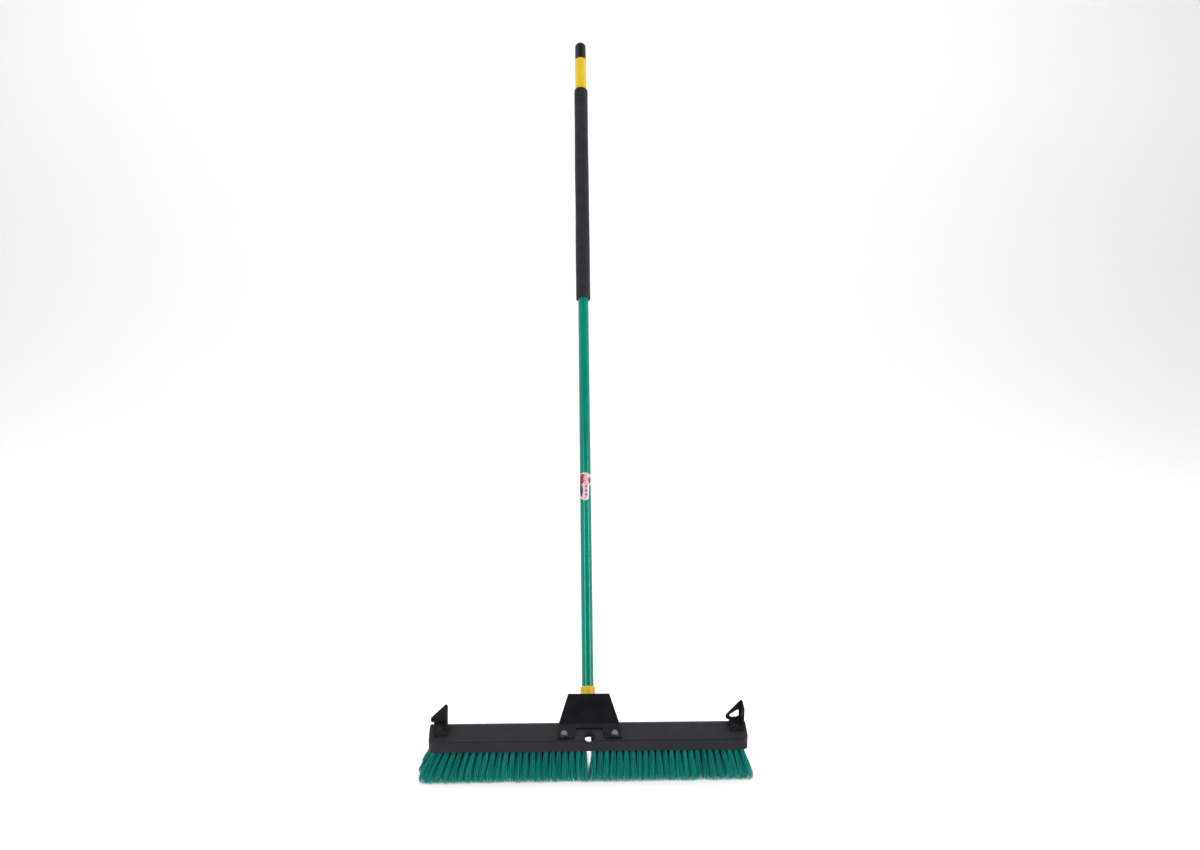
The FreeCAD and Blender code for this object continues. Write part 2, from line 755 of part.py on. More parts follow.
def foam_grip():
    inner = "Sizes.tube_radius + Sizes.running_gap"
    body = turned("foam_grip", [
        (inner, "Sizes.grip_start"), ("Sizes.grip_radius", "Sizes.grip_start"),
        ("Sizes.grip_radius", "Sizes.grip_end"), (inner, "Sizes.grip_end")])
    for end, rounding in (("grip_end", "grip_top_round"), ("grip_start", "grip_foot_round")):
        round_edges(body, f"{end}_rounding", f"Sizes.{rounding}",
                    ring_edge(size("grip_radius"), size(end)))
    return body


def end_sleeve():
    """Sleeve over the tube's top end, closed by a lip that the cap snaps through."""
    inner = "Sizes.tube_radius + Sizes.running_gap"
    lip = "Sizes.cap_neck_radius + Sizes.running_gap"
    lip_foot = "Sizes.sleeve_end - Sizes.lip_height"
    tube_bore = "Sizes.tube_radius - Sizes.tube_wall / 2"
    tube_stop = "Sizes.tube_end + Sizes.tube_end_gap"
    body = turned("end_sleeve", [
        (inner, "Sizes.sleeve_start"), ("Sizes.sleeve_radius", "Sizes.sleeve_start"),
        ("Sizes.sleeve_radius", "Sizes.sleeve_end"), (lip, "Sizes.sleeve_end"), (lip, lip_foot),
        (tube_bore, lip_foot), (tube_bore, tube_stop), (inner, tube_stop)])
    for end, rounding in (("sleeve_start", "sleeve_foot_round"), ("sleeve_end", "sleeve_top_round")):
        round_edges(body, f"{end}_rounding", f"Sizes.{rounding}",
                    ring_edge(size("sleeve_radius"), size(end)))
    return body


def end_cap():
    """Domed hanging cap that turns in the sleeve on a snapped-in neck."""
    low = "Sizes.sleeve_end + Sizes.seat_gap"
    top = f"{low} + Sizes.cap_height"
    barb = "Sizes.sleeve_end - Sizes.lip_height - Sizes.seat_gap"
    barb_end = f"{barb} - Sizes.cap_barb_length"
    neck = "Sizes.cap_neck_radius"
    body = turned("end_cap", [
        ("0", barb_end), (f"{neck} - Sizes.cap_lead", barb_end), (f"{neck} + Sizes.cap_barb", barb),
        (neck, barb), (neck, low), ("Sizes.cap_radius", low), ("Sizes.cap_radius", top), ("0", top)])
    foot_height = size("sleeve_end") + size("seat_gap")
    round_edges(body, "cap_dome", "Sizes.cap_radius - Sizes.cap_crown_radius",
                ring_edge(size("cap_radius"), foot_height + size("cap_height")))
    round_edges(body, "cap_foot", "Sizes.cap_foot_round",
                ring_edge(size("cap_radius"), foot_height))
    hole = new_sketch(body, "hang_hole", "YZ_Plane")
    circle(hole, ("0", f"{low} + Sizes.hang_hole_height"), "Sizes.hang_hole_radius")
    pocket(body, hole)
    return body


def handle_label():
    inner = "Sizes.tube_radius + Sizes.running_gap"
    outer = f"{inner} + Sizes.label_thickness"
    turn = FreeCAD.Rotation(FreeCAD.Vector(0, 0, 1), -90 - size("label_wrap") / 2)
    place = HANDLE.multiply(FreeCAD.Placement(FreeCAD.Vector(), turn))
    return turned("handle_label", [
        (inner, "Sizes.label_start"), (outer, "Sizes.label_start"),
        (outer, "Sizes.label_end"), (inner, "Sizes.label_end")], place, "Sizes.label_wrap")


# ---- build, check and write ------------------------------------------------------------

left_screw, right_screw = hook_screw_places()
parts = [
    block(),
    *tuft_rows(),
    tuft_anchors(),
    handle_bracket(),
    bracket_screws(),
    corner_hook("corner_hook_left", "left", left_screw, windowed=False),
    corner_hook("corner_hook_right", "right", right_screw, windowed=True),
    hook_screws(),
    threaded_tip(),
    handle_tube(),
    handle_rivet(),
    handle_collar(),
    foam_grip(),
    end_sleeve(),
    end_cap(),
    handle_label(),
]
doc.recompute()

for item in doc.Objects:
    if "Invalid" in item.State or "Error" in item.State:
        raise RuntimeError(f"{item.Name} failed: {item.State}")
for part in parts:
    if part.Shape.isNull() or not part.Shape.isValid():
        raise RuntimeError(f"{part.Label} has no valid shape")

os.makedirs("parts", exist_ok=True)
for part in parts:
    part.Shape.exportStep(f"parts/{part.Label}.step")
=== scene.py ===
import json
import math
import bpy
import numpy as np
from mathutils import Matrix, Vector


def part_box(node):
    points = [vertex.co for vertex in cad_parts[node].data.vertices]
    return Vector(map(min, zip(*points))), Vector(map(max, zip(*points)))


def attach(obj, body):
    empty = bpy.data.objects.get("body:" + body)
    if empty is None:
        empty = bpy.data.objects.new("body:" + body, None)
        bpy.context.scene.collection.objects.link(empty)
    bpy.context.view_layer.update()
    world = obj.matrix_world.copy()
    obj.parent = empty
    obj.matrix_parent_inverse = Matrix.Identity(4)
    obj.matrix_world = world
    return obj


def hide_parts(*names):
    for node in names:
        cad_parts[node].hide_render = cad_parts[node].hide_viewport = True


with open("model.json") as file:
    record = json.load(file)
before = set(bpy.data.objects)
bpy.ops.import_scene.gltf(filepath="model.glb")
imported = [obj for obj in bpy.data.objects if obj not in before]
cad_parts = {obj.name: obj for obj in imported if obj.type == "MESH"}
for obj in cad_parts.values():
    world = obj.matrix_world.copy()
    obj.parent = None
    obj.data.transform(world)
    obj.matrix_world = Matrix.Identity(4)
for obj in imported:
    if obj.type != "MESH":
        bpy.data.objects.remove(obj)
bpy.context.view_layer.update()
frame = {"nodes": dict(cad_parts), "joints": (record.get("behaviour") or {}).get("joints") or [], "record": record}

MM = 0.001
RANDOM = np.random.default_rng(24)

# The handle's frame, from the record: its foot on the back slope and its direction.
TURN = next(joint for joint in frame["joints"] if joint["name"] == "handle_turn")
HANDLE_FOOT = Vector(TURN["pos_m"])
HANDLE_AXIS = Vector(TURN["axis"]).normalized()
ACROSS = Vector((1, 0, 0))
FRONTWARD = HANDLE_AXIS.cross(ACROSS).normalized() * -1
HANDLE_FRAME = Matrix((ACROSS, -FRONTWARD, HANDLE_AXIS)).transposed().to_4x4()
HANDLE_FRAME.translation = HANDLE_FOOT

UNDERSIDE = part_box("block")[0].z


def along_handle(node):
    """Lowest and highest distance of a node's points up the handle from its foot."""
    points = np.array([vertex.co for vertex in frame["nodes"][node].data.vertices])
    heights = (points - np.array(HANDLE_FOOT)) @ np.array(HANDLE_AXIS)
    return heights.min(), heights.max()


def handle_radius(node):
    """Largest distance of a node's points from the handle's axis."""
    points = np.array([vertex.co for vertex in frame["nodes"][node].data.vertices])
    arm = points - np.array(HANDLE_FOOT)
    arm -= np.outer(arm @ np.array(HANDLE_AXIS), np.array(HANDLE_AXIS))
    return np.linalg.norm(arm, axis=1).max()


# ---- material helpers ------------------------------------------------------------------

PALE_PINK = (0.78, 0.46, 0.56)
RANGE_SOCKETS = ("From Min", "From Max", "To Min", "To Max")


class Paint:
    """A Principled material with short calls for the nodes that vary it."""

    def __init__(self, name, roughness=0.5, **sockets):
        self.material = bpy.data.materials.new(name)
        self.material.use_nodes = True
        self.nodes = self.material.node_tree.nodes
        self.links = self.material.node_tree.links
        self.shader = self.nodes["Principled BSDF"]
        self.shader.inputs["Roughness"].default_value = roughness
        for socket, number in sockets.items():
            self.shader.inputs[socket.replace("_", " ")].default_value = number
        coordinates = self.nodes.new("ShaderNodeTexCoord")
        self.place = coordinates.outputs["Object"]

    def noise(self, size, detail=3.0, rough=0.5):
        """Noise whose features are about `size` metres across."""
        node = self.nodes.new("ShaderNodeTexNoise")
        node.inputs["Scale"].default_value = 1 / size
        node.inputs["Detail"].default_value = detail
        node.inputs["Roughness"].default_value = rough
        self.links.new(self.place, node.inputs["Vector"])
        return node.outputs["Fac"]

    def cells(self, size):
        """Cell pattern whose cells are about `size` metres across."""
        node = self.nodes.new("ShaderNodeTexVoronoi")
        node.inputs["Scale"].default_value = 1 / size
        self.links.new(self.place, node.inputs["Vector"])
        return node.outputs["Distance"]

    def remap(self, source, low, high, start=0.0, end=1.0):
        node = self.nodes.new("ShaderNodeMapRange")
        for name, number in zip(RANGE_SOCKETS, (low, high, start, end)):
            node.inputs[name].default_value = number
        self.links.new(source, node.inputs["Value"])
        return node.outputs["Result"]

    def blend(self, factor, first, second):
        """Mix of two colours, or of a colour and another socket."""
        node = self.nodes.new("ShaderNodeMix")
        node.data_type = "RGBA"
        self.links.new(factor, node.inputs["Factor"])
        for name, colour in (("A", first), ("B", second)):
            socket = next(s for s in node.inputs if s.name == name and s.type == "RGBA")
            if isinstance(colour, bpy.types.NodeSocket):
                self.links.new(colour, socket)
            else:
                socket.default_value = (*colour, 1)
        return next(s for s in node.outputs if s.type == "RGBA")

    def math(self, operation, first, second):
        node = self.nodes.new("ShaderNodeMath")
        node.operation = operation
        for socket, source in zip(node.inputs, (first, second)):
            if isinstance(source, bpy.types.NodeSocket):
                self.links.new(source, socket)
            else:
                socket.default_value = source
        return node.outputs[0]

    def combined(self, across, up):
        """Vector made of two mesh attributes."""
        node = self.nodes.new("ShaderNodeCombineXYZ")
        self.links.new(self.attribute(across), node.inputs["X"])
        self.links.new(self.attribute(up), node.inputs["Y"])
        return node.outputs["Vector"]

    def ellipse(self, centre, radii):
        """1 inside an ellipse of the material's plane, 0 outside."""
        mapping = self.nodes.new("ShaderNodeMapping")
        mapping.vector_type = "TEXTURE"
        mapping.inputs["Location"].default_value = (*centre, 0)
        mapping.inputs["Scale"].default_value = (*radii, 1)
        self.links.new(self.place, mapping.inputs["Vector"])
        length = self.nodes.new("ShaderNodeVectorMath")
        length.operation = "LENGTH"
        self.links.new(mapping.outputs["Vector"], length.inputs[0])
        return self.remap(length.outputs["Value"], 1.06, 0.94)

    def attribute(self, name):
        node = self.nodes.new("ShaderNodeAttribute")
        node.attribute_name = name
        return node.outputs["Fac"]

    def edge_wear(self, radius):
        """High along convex edges, zero on flat faces."""
        bevel = self.nodes.new("ShaderNodeBevel")
        bevel.inputs["Radius"].default_value = radius
        geometry = self.nodes.new("ShaderNodeNewGeometry")
        dot = self.nodes.new("ShaderNodeVectorMath")
        dot.operation = "DOT_PRODUCT"
        self.links.new(bevel.outputs["Normal"], dot.inputs[0])
        self.links.new(geometry.outputs["Normal"], dot.inputs[1])
        return self.remap(dot.outputs["Value"], 0.995, 0.85)

    def colour(self, socket):
        self.links.new(socket, self.shader.inputs["Base Color"])

    def roughness(self, socket):
        self.links.new(socket, self.shader.inputs["Roughness"])

    def bump(self, height, depth, strength, soft_edges=0.0):
        """Bump of `depth` metres, over edges that look rounded by `soft_edges` metres."""
        node = self.nodes.new("ShaderNodeBump")
        node.inputs["Distance"].default_value = depth
        node.inputs["Strength"].default_value = strength
        self.links.new(height, node.inputs["Height"])
        if soft_edges:
            bevel = self.nodes.new("ShaderNodeBevel")
            bevel.inputs["Radius"].default_value = soft_edges
            self.links.new(bevel.outputs["Normal"], node.inputs["Normal"])
        self.links.new(node.outputs["Normal"], self.shader.inputs["Normal"])


def moulded(name, dark, light, roughness, shine=0.5, depth=0.00008):
    """Moulded plastic: fine spark grain, cloudy tone and lighter rubbed edges."""
    grain = edges = 0.0006
    paint = Paint(name, Specular_IOR_Level=shine)
    cloud = paint.noise(0.05, 4)
    tone = paint.blend(paint.remap(cloud, 0.35, 0.65), dark, light)
    worn = paint.math("MULTIPLY", paint.edge_wear(edges * 1.5), paint.noise(0.006, 2))
    rubbed = tuple(min(1.0, channel * 1.7 + 0.012) for channel in light)
    paint.colour(paint.blend(worn, tone, rubbed))
    smudges = paint.noise(0.012, 5)
    paint.roughness(paint.remap(smudges, 0.3, 0.7, roughness - 0.07, roughness + 0.08))
    paint.bump(paint.noise(grain, 2), depth, 0.6, edges)
    return paint.material


def block_plastic():
    return moulded("block_plastic", (0.011, 0.011, 0.0155), (0.016, 0.016, 0.022), 0.5, shine=0.27)


def hook_plastic():
    return moulded("hook_plastic", (0.004, 0.004, 0.006), (0.007, 0.007, 0.009), 0.5, shine=0.16)


def cap_plastic():
    return moulded("cap_plastic", (0.009, 0.009, 0.011), (0.014, 0.014, 0.017), 0.38, shine=0.2)


def yellow_plastic():
    return moulded("yellow_plastic", (0.88, 0.565, 0.008), (0.95, 0.64, 0.014), 0.36,
                   shine=0.35, depth=0.00004)


def tip_plastic():
    return moulded("tip_plastic", (0.02, 0.02, 0.02), (0.03, 0.03, 0.03), 0.5)


def powder_coat():
    """Black powder coat: orange peel, a few rubbed spots and satin sheen on the bends."""
    paint = Paint("black_steel", Specular_IOR_Level=0.12)
    tone = paint.blend(paint.remap(paint.noise(0.03, 3), 0.35, 0.65),
                       (0.007, 0.007, 0.010), (0.012, 0.012, 0.016))
    worn = paint.math("MULTIPLY", paint.edge_wear(0.0009), paint.noise(0.004, 2))
    paint.colour(paint.blend(worn, tone, (0.035, 0.035, 0.042)))
    paint.roughness(paint.remap(paint.noise(0.02, 4), 0.3, 0.7, 0.32, 0.46))
    paint.bump(paint.noise(0.0016, 1), 0.00012, 0.5, 0.0008)
    return paint.material


def green_enamel():
    """Glossy enamel on a drawn tube: slight orange peel and small scuffs."""
    paint = Paint("green_paint", Specular_IOR_Level=0.5, Specular_Tint=(0.5, 1.0, 0.86, 1))
    tone = paint.blend(paint.remap(paint.noise(0.12, 2), 0.35, 0.65),
                       (0.0, 0.215, 0.150), (0.0, 0.255, 0.180))
    scuff = paint.remap(paint.noise(0.004, 6, 0.7), 0.66, 0.74, 0.0, 0.5)
    paint.colour(paint.blend(scuff, tone, (0.02, 0.28, 0.21)))
    paint.roughness(paint.remap(paint.noise(0.006, 4), 0.3, 0.7, 0.16, 0.26))
    paint.bump(paint.noise(0.0022, 1), 0.00005, 0.5)
    return paint.material


def foam():
    """Closed-cell foam: small open cells sunk into the skin and painted darker inside as painted shade, and soft
    mottling.
    """
    paint = Paint("foam", roughness=0.85, Sheen_Weight=0.08, Sheen_Roughness=0.5,
                  Specular_IOR_Level=0.3)
    tone = paint.blend(paint.remap(paint.noise(0.02, 4), 0.3, 0.7),
                       (0.014, 0.014, 0.018), (0.024, 0.024, 0.030))
    pore_depth_and_shade = paint.remap(paint.cells(0.0011), 0.0, 0.35)
    # painted shade: the open cells are painted darker inside, where shade falls; the same mask also sinks them in
    # the bump
    paint.colour(paint.blend(pore_depth_and_shade, (0.006, 0.006, 0.008), tone))
    height = paint.math("ADD", pore_depth_and_shade, paint.noise(0.006, 3))
    paint.bump(height, 0.00022, 0.7)
    return paint.material


def zinc():
    paint = Paint("zinc_steel", Metallic=1.0)
    tone = paint.blend(paint.remap(paint.noise(0.003, 4), 0.3, 0.7),
                       (0.10, 0.10, 0.11), (0.24, 0.24, 0.25))
    paint.colour(tone)
    paint.roughness(paint.remap(paint.noise(0.0015, 4), 0.3, 0.7, 0.26, 0.42))
    paint.bump(paint.noise(0.0008, 2), 0.00004, 0.5, 0.0003)
    return paint.material


def black_screw():
    paint = Paint("black_screw", Metallic=0.6)
    paint.colour(paint.blend(paint.noise(0.002, 3), (0.010, 0.010, 0.011), (0.03, 0.03, 0.032)))
    paint.roughness(paint.remap(paint.noise(0.001, 3), 0.3, 0.7, 0.32, 0.5))
    paint.bump(paint.noise(0.0007, 2), 0.00004, 0.5, 0.0003)
    return paint.material


def wire():
    paint = Paint("steel_wire", Metallic=1.0)
    paint.colour(paint.blend(paint.noise(0.002, 2), (0.45, 0.45, 0.45), (0.6, 0.6, 0.6)))
    paint.roughness(paint.remap(paint.noise(0.001, 2), 0.3, 0.7, 0.25, 0.4))
    return paint.material


def bristle():
    """Blue-green synthetic filament: each strand has its own tone, and the tips are painted lighter as painted
    light, with the roots left darker as painted shade under the block.
    """
    paint = Paint("bristle", Specular_IOR_Level=0.16)
    strand = paint.attribute("strand")
    tone = paint.blend(strand, (0.0, 0.165, 0.138), (0.003, 0.42, 0.36))
    # painted light and shade: lighter towards the tips, which catch the light, darker at the roots, which the
    # block shades
    tip = paint.math("POWER", paint.attribute("tip"), 2.2)
    lighter = paint.math("MULTIPLY", tip, 0.45)
    paint.colour(paint.blend(lighter, tone, (0.05, 0.62, 0.52)))
    paint.roughness(paint.remap(strand, 0.0, 1.0, 0.38, 0.55))
    paint.bump(paint.noise(0.0012, 2), 0.00005, 0.5)
    return paint.material


def sticker_film():
    """Glossy sticker: a plain shape on a red field over a pale strip, inside a white border."""
    paint = Paint("label_film", Coat_Weight=0.5, Coat_Roughness=0.1)
    paint.place = paint.combined("turn", "height")
    field = paint.blend(paint.ellipse((-0.95, 0.80), (0.90, 0.22)), PALE_PINK, (0.30, 0.012, 0.035))
    field = paint.blend(paint.ellipse((0.12, 0.80), (0.52, 0.09)), field, PALE_PINK)
    field = paint.blend(paint.ellipse((0.78, 0.735), (0.34, 0.11)), field, (0.36, 0.018, 0.045))
    for height in (0.20, 0.35, 0.50):
        field = paint.blend(paint.ellipse((0.08, height), (0.17, 0.030)), field, (0.22, 0.03, 0.09))
    field = paint.blend(paint.ellipse((-1.22, 0.36), (0.72, 0.26)), field, (0.020, 0.022, 0.085))
    border = paint.math("LESS_THAN", paint.attribute("edge"), 2.0 * MM)
    paint.colour(paint.blend(border, field, (0.80, 0.80, 0.80)))
    paint.roughness(paint.remap(paint.noise(0.08, 3), 0.3, 0.7, 0.25, 0.36))
    paint.bump(paint.noise(0.05, 2), 0.00004, 0.4)
    return paint.material


# ---- mesh helpers ----------------------------------------------------------------------

def new_piece(name, points, faces, body, material, replaced=()):
    """Smooth-shaded mesh that rides a body and stands for the replaced CAD nodes."""
    mesh = bpy.data.meshes.new(name)
    mesh.from_pydata([tuple(point) for point in points], [], [tuple(face) for face in faces])
    mesh.polygons.foreach_set("use_smooth", [True] * len(mesh.polygons))
    mesh.materials.append(material)
    mesh.update()
    piece = bpy.data.objects.new(name, mesh)
    bpy.context.scene.collection.objects.link(piece)
    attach(piece, body)
    if replaced:
        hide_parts(*replaced)
    return piece


def point_values(piece, name, values):
    """Number on each point of a piece, for its material to read."""
    layer = piece.data.attributes.new(name, "FLOAT", "POINT")
    layer.data.foreach_set("value", np.asarray(values, dtype=np.float32))


def grid_faces(rows, columns, closed):
    """Quads of a grid of points; a closed grid joins its last column to its first."""
    spans = columns if closed else columns - 1
    return [(row * columns + column, row * columns + (column + 1) % columns,
             (row + 1) * columns + (column + 1) % columns, (row + 1) * columns + column)
            for row in range(rows - 1) for column in range(spans)]


# ---- bristles --------------------------------------------------------------------------

ROWS = 5
STRANDS = 120
RINGS = 7
STRAND_RADIUS = 0.31 * MM
TUFT_RADIUS = 3.0 * MM
SUNK = 2.5 * MM
WAVE = 0.25 * MM
# how the tufts lean: fan at the ends, spread front to back, and untidiness
LEFT_FLARE, RIGHT_FLARE = 24 * MM, 15 * MM
FLARE_POWER = 2.2
SIDE_LEAN = 0.15
UNTIDY = 0.9 * MM
# next to the middle gap
GAP_REACH = 20 * MM
GAP_LEAN, GAP_LEAN_PER_DEPTH = -1.0 * MM, -0.1


def tuft_roots():
    """Centres of the tufts of every row, front row first, read from the wire anchors above
    them: each anchor is a small box, so its ends are neighbours among its row's X values."""
    points = np.array([vertex.co for vertex in frame["nodes"]["tuft_anchors"].data.vertices])
    middles = np.linspace(points[:, 1].min(), points[:, 1].max(), ROWS)
    rows = []
    for middle in middles:
        ends = np.unique(points[np.abs(points[:, 1] - middle) < 2 * MM, 0].round(5))
        rows.append([(x, middle) for x in (ends[0::2] + ends[1::2]) / 2])
    return rows


def tip_lean(x, y, first, last):
    """How far a tuft's tips stand out from its root: fanned out towards the block's ends
    and sides; next to the middle gap the front rows lean in and the back rows lean away."""
    flare = LEFT_FLARE if x < 0 else RIGHT_FLARE
    inward = (GAP_LEAN + GAP_LEAN_PER_DEPTH * y) * math.exp((first - abs(x)) / GAP_REACH)
    out = flare * (abs(x) / last) ** FLARE_POWER - inward
    return np.array([out if x > 0 else -out, SIDE_LEAN * y]) + RANDOM.normal(0, UNTIDY, 2)


def strand_paths(x, y, lean):
    """Centre lines of one tuft's strands, from inside its hole to the tips."""
    reach = np.sqrt(RANDOM.uniform(0, 1, STRANDS)) * TUFT_RADIUS
    angle = RANDOM.uniform(0, 2 * math.pi, STRANDS)
    around = np.stack([np.cos(angle), np.sin(angle)], axis=1) * reach[:, None]
    share = np.linspace(0, 1, RINGS)
    bow = np.interp(share, (0, 0.8, 1), (0, 1, 0.92))[None, :, None]
    spread = around * RANDOM.uniform(1.7, 2.1) + RANDOM.normal(0, UNTIDY, (STRANDS, 2))
    wave = np.sin(share[None, :, None] * 14 + RANDOM.uniform(0, 2 * math.pi, (STRANDS, 1, 2)))
    level = np.array([x, y]) + around[:, None, :] + lean * bow
    level = level + (spread[:, None, :] + WAVE * wave) * share[None, :, None]
    length = UNDERSIDE + SUNK - 0.4 * MM - np.abs(RANDOM.normal(0, 0.9 * MM, STRANDS))
    height = UNDERSIDE + SUNK - share[None, :] * length[:, None]
    return np.concatenate([level, height[:, :, None]], axis=2)


def strand_tubes(paths):
    """Thin three-sided tubes round the paths, with a closed tip."""
    count = len(paths)
    corner = np.array([0, 2, 4]) * math.pi / 3
    turn = RANDOM.uniform(0, 2 * math.pi, (count, 1))
    radius = STRAND_RADIUS * np.append(np.ones(RINGS - 1), 0.6)
    ring = np.stack([np.cos(corner + turn), np.sin(corner + turn), np.zeros((count, 3))], axis=2)
    points = paths[:, :, None, :] + ring[:, None, :, :] * radius[None, :, None, None]
    start = np.arange(count)[:, None, None, None] * RINGS * 3
    level = np.arange(RINGS - 1)[None, :, None, None] * 3
    side = np.arange(3)[None, None, :, None]
    following = (side + 1) % 3
    quad = np.concatenate([side, side + 3, following + 3, following], axis=3)
    faces = (start + level + quad).reshape(-1, 4).tolist()
    tips = (np.arange(count)[:, None] * RINGS * 3 + (RINGS - 1) * 3 + np.array([0, 2, 1])).tolist()
    return points.reshape(-1, 3), faces + tips


def bristle_rows():
    """One piece of strands for each half row of CAD tufts."""
    material = bristle()
    rows = tuft_roots()
    distances = [abs(x) for row in rows for x, _ in row]
    first, last = min(distances), max(distances)
    for number, row in enumerate(rows, 1):
        for side, sign in (("left", -1), ("right", 1)):
            tufts = [(x, y, tip_lean(x, y, first, last)) for x, y in row if x * sign > 0]
            paths = np.concatenate([strand_paths(*tuft) for tuft in tufts])
            points, faces = strand_tubes(paths)
            piece = new_piece(f"bristles_{number}_{side}", points, faces, "head",
                              material, [f"tuft_row_{number}_{side}"])
            point_values(piece, "strand", np.repeat(RANDOM.beta(2, 2, len(paths)), RINGS * 3))
            along = np.repeat(np.linspace(0, 1, RINGS), 3)
            point_values(piece, "tip", np.tile(along, len(paths)))


# ---- spare hole thread -----------------------------------------------------------------

def spare_thread():
    """Helical ridge on the wall of the spare handle hole."""
    mount = next(m for m in frame["record"]["mounts"] if m["name"] == "spare_handle_thread")
    axis = Vector(mount["axis"]).normalized()
    middle = Vector(mount["pos_m"])
    up = axis.cross(ACROSS)
    radius = mount["dims"]["r_mm"] * MM
    # the thread runs from the mouth to where the hole opens into the block's hollow
    length = 11 * MM
    middle = middle + axis * (mount["dims"]["length_mm"] * MM - length) / 2
    pitch, steps = 5.08 * MM, 40
    ridge_width = 2.4 * MM
    turns = (length - ridge_width) / pitch
    profile = ((0.05, -1.15), (-0.95, -0.45), (-0.95, 0.45), (0.05, 1.15))
    points = []
    count = int(turns * steps)
    for step in range(count + 1):
        angle = 2 * math.pi * step / steps
        height = -turns / 2 * pitch + pitch * step / steps
        fade = min(1, step / 6, (count - step) / 6)
        out = ACROSS * math.cos(angle) + up * math.sin(angle)
        for depth, rise in profile:
            inward = depth * fade if depth < 0 else depth
            points.append(middle + out * (radius + inward * MM) + axis * (height + rise * MM))
    faces = grid_faces(count + 1, len(profile), closed=False)
    new_piece("spare_hole_thread", points, faces, "head",
              bpy.data.materials["block_plastic"])


# ---- grip and sticker ------------------------------------------------------------------

def foam_grip():
    """Foam sleeve with a rounded top shoulder, a plain cut end and a slightly uneven skin."""
    low, high = along_handle("foam_grip")
    outer = handle_radius("foam_grip")
    inner = handle_radius("handle_tube") + 0.1 * MM
    shoulder, cut = 3.2 * MM, 0.9 * MM
    profile = [(inner, low), (outer - cut, low)]
    profile += [(outer - cut + cut * math.sin(a), low + cut - cut * math.cos(a))
                for a in np.linspace(0.3, math.pi / 2, 4)]
    profile += [(outer, height) for height in np.linspace(low + 4 * MM, high - 5 * MM, 130)]
    profile += [(outer + shoulder * (math.cos(a) - 1), high + shoulder * (math.sin(a) - 1))
                for a in np.linspace(0, math.pi / 2, 6)]
    profile += [(inner, high)]
    columns = 72
    points = []
    for radius, height in profile:
        for column in range(columns):
            angle = 2 * math.pi * column / columns
            swell = 0.16 * MM * math.sin(height * 31 + 1.7)
            swell += 0.10 * MM * math.sin(3 * angle + height * 19)
            reach = radius + (swell - 0.25 * MM if radius > inner else 0)
            place = Vector((reach * math.cos(angle), reach * math.sin(angle), height))
            points.append(HANDLE_FRAME @ place)
    piece = new_piece("foam_sleeve", points, grid_faces(len(profile), columns, closed=True),
                      "handle", foam(), ["foam_grip"])


def rounded(share, reach):
    """Quarter of an ellipse: 0 at share 0 and 1 from share `reach` on."""
    return math.sqrt(max(0.0, 1 - max(0.0, 1 - share / reach) ** 2))


def sticker_sides(share):
    """Left and right edge angles in radians: a round lobe over a narrower rounded tongue."""
    top = rounded(1 - share, 0.10)
    left = -math.radians(62 + 38 * min(1, share / 0.4)) * rounded(share, 0.22)
    tongue = math.radians(36) * rounded(share, 0.20)
    lobe = math.radians(42) * math.sqrt(max(0.0, 1 - ((share - 0.775) / 0.225) ** 2))
    return left * top, (tongue + lobe) * top


def sticker():
    """Sticker round the front of the tube, with its outline in the mesh and not in the paint."""
    low, high = along_handle("handle_label")
    radius = handle_radius("handle_label")
    rows, columns = 120, 61
    shares = np.linspace(0.004, 0.996, rows)
    sides = np.array([sticker_sides(share) for share in shares])
    turns = sides[:, :1] + (sides[:, 1:] - sides[:, :1]) * np.linspace(0, 1, columns)
    levels = low + shares[:, None] * (high - low) + 0 * turns
    rim = np.concatenate([np.column_stack([side * radius, levels[:, 0]]) for side in sides.T])
    flat = np.stack([turns * radius, levels], axis=2).reshape(-1, 2)
    edge = np.min(np.linalg.norm(flat[:, None, :] - rim[None, :, :], axis=2), axis=1)
    ends = np.minimum(flat[:, 1] - low, high - flat[:, 1])
    points = [HANDLE_FRAME @ Vector((radius * math.sin(turn), -radius * math.cos(turn), level))
              for turn, level in zip(turns.ravel(), levels.ravel())]
    piece = new_piece("handle_sticker", points, grid_faces(rows, columns, closed=False), "handle",
                      sticker_film(), ["handle_label"])
    point_values(piece, "edge", np.minimum(edge, ends))
    point_values(piece, "height", np.repeat(shares, columns))
    point_values(piece, "turn", turns.ravel())


# ---- finishes of the CAD nodes ---------------------------------------------------------

def finish_nodes():
    """Materials for the CAD nodes that stay visible."""
    plastic, coat, hooks = block_plastic(), powder_coat(), hook_plastic()
    bright, yellow = zinc(), yellow_plastic()
    finishes = {
        "block": plastic, "handle_bracket": coat, "bracket_screws": bright,
        "corner_hook_left": hooks, "corner_hook_right": hooks, "hook_screws": black_screw(),
        "threaded_tip": tip_plastic(), "handle_tube": green_enamel(), "handle_rivet": bright,
        "handle_collar": yellow, "end_sleeve": yellow, "end_cap": cap_plastic(),
        "tuft_anchors": wire(),
    }
    for node, material in finishes.items():
        for material_slot in frame["nodes"][node].material_slots:
            material_slot.material = material


# ---- room, lights and camera -----------------------------------------------------------

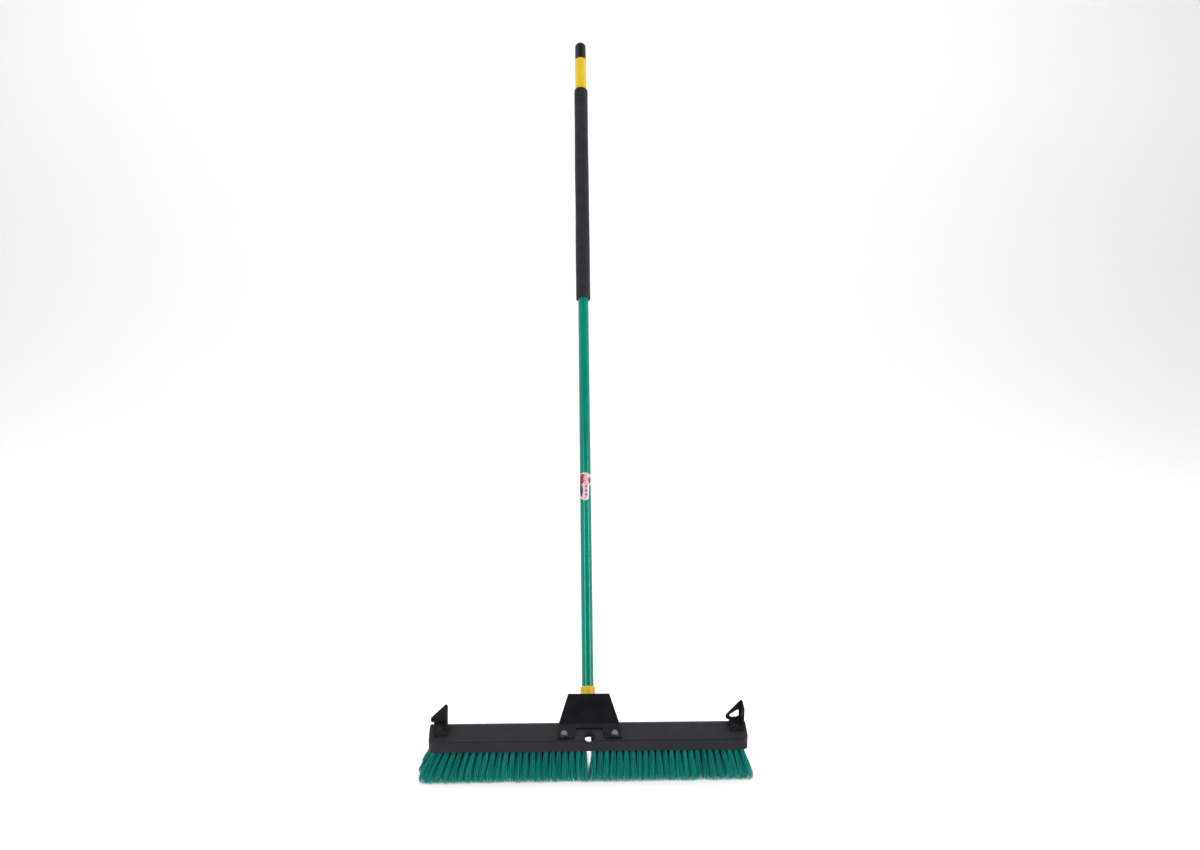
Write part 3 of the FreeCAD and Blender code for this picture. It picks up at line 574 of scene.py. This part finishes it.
def backdrop():
    """Pale floor that sweeps up behind the broom and glows a little, like a shooting table."""
    paint = Paint("studio_floor", roughness=0.9, Emission_Color=(1, 1, 1, 1),
                  Emission_Strength=0.34)
    paint.colour(paint.blend(paint.noise(0.6, 2), (0.88, 0.88, 0.88), (0.91, 0.91, 0.91)))
    front, back, top, bend, half = -9.0, 4.5, 7.0, 2.0, 12.0
    line = [(front, 0.0), (back - bend, 0.0)]
    line += [(back - bend + bend * math.sin(a), bend - bend * math.cos(a))
             for a in np.linspace(0.1, math.pi / 2, 16)]
    line.append((back, top))
    points = [(x, y, z) for y, z in line for x in (-half, half)]
    mesh = bpy.data.meshes.new("studio_floor")
    mesh.from_pydata(points, [], grid_faces(len(line), 2, closed=False))
    mesh.polygons.foreach_set("use_smooth", [True] * len(mesh.polygons))
    mesh.materials.append(paint.material)
    floor = bpy.data.objects.new("studio_floor", mesh)
    bpy.context.scene.collection.objects.link(floor)


def area_light(name, place, target, width, height, power):
    """Rectangular lamp at a place, turned towards a target."""
    lamp = bpy.data.lights.new(name, "AREA")
    lamp.shape = "RECTANGLE"
    lamp.size, lamp.size_y = width, height
    lamp.energy = power
    light = bpy.data.objects.new(name, lamp)
    light.location = place
    direction = Vector(target) - Vector(place)
    light.rotation_euler = direction.to_track_quat("-Z", "Y").to_euler()
    bpy.context.scene.collection.objects.link(light)


def lights():
    """Two strips beside the camera draw the streaks on the tube; the rest is a soft top light
    and surroundings that are bright behind the broom and dim in front of it."""
    area_light("strip_left", (-1.52, -1.30, 1.50), (0, 0.15, 0.35), 0.42, 1.5, 24)
    area_light("strip_right", (2.02, -0.80, 1.25), (0, 0.15, 0.35), 0.40, 1.5, 24)
    area_light("overhead", (0, 2.1, 3.6), (0, 2.1, 0), 6.0, 3.4, 70)
    world = bpy.data.worlds.new("studio")
    world.use_nodes = True
    nodes, links = world.node_tree.nodes, world.node_tree.links
    direction = nodes.new("ShaderNodeTexCoord").outputs["Generated"]
    facing = nodes.new("ShaderNodeVectorMath")
    facing.operation = "DOT_PRODUCT"
    facing.inputs[1].default_value = (0, -0.94, 0.34)
    links.new(direction, facing.inputs[0])
    dimmed = nodes.new("ShaderNodeMapRange")
    dimmed.interpolation_type = "SMOOTHSTEP"
    for name, number in zip(RANGE_SOCKETS, (-0.1, 0.75, 0.80, 0.10)):
        dimmed.inputs[name].default_value = number
    links.new(facing.outputs["Value"], dimmed.inputs["Value"])
    # seen directly, the surroundings are as pale as the floor from every side
    seen = nodes.new("ShaderNodeMath")
    seen.operation = "MAXIMUM"
    links.new(dimmed.outputs["Result"], seen.inputs[0])
    links.new(nodes.new("ShaderNodeLightPath").outputs["Is Camera Ray"], seen.inputs[1])
    links.new(seen.outputs[0], nodes["Background"].inputs["Strength"])
    nodes["Background"].inputs["Color"].default_value = (1, 1, 1, 1)
    bpy.context.scene.world = world
    bpy.context.scene.view_settings.view_transform = "Standard"


def camera():
    """View from in front and a little above, turned slightly to the right."""
    pitch, yaw, roll = 0.1418, 0.0561, 0.0121
    level = Vector((math.sin(yaw), math.cos(yaw), 0))
    forward = level * math.cos(pitch) - Vector((0, 0, math.sin(pitch)))
    right = Vector((math.cos(yaw), -math.sin(yaw), 0))
    up = right.cross(forward)
    tilted_right = right * math.cos(roll) + up * math.sin(roll)
    tilted_up = up * math.cos(roll) - right * math.sin(roll)
    data = bpy.data.cameras.new("camera")
    data.sensor_width = 36
    data.lens = 32.24
    data.clip_end = 50
    view = bpy.data.objects.new("camera", data)
    turn = Matrix((tilted_right, tilted_up, -forward)).transposed().to_4x4()
    turn.translation = Vector((-91.5, -1874.4, 915.9)) * MM
    view.matrix_world = turn
    bpy.context.scene.collection.objects.link(view)
    bpy.context.scene.camera = view


finish_nodes()
bristle_rows()
spare_thread()
foam_grip()
sticker()
backdrop()
lights()
camera()
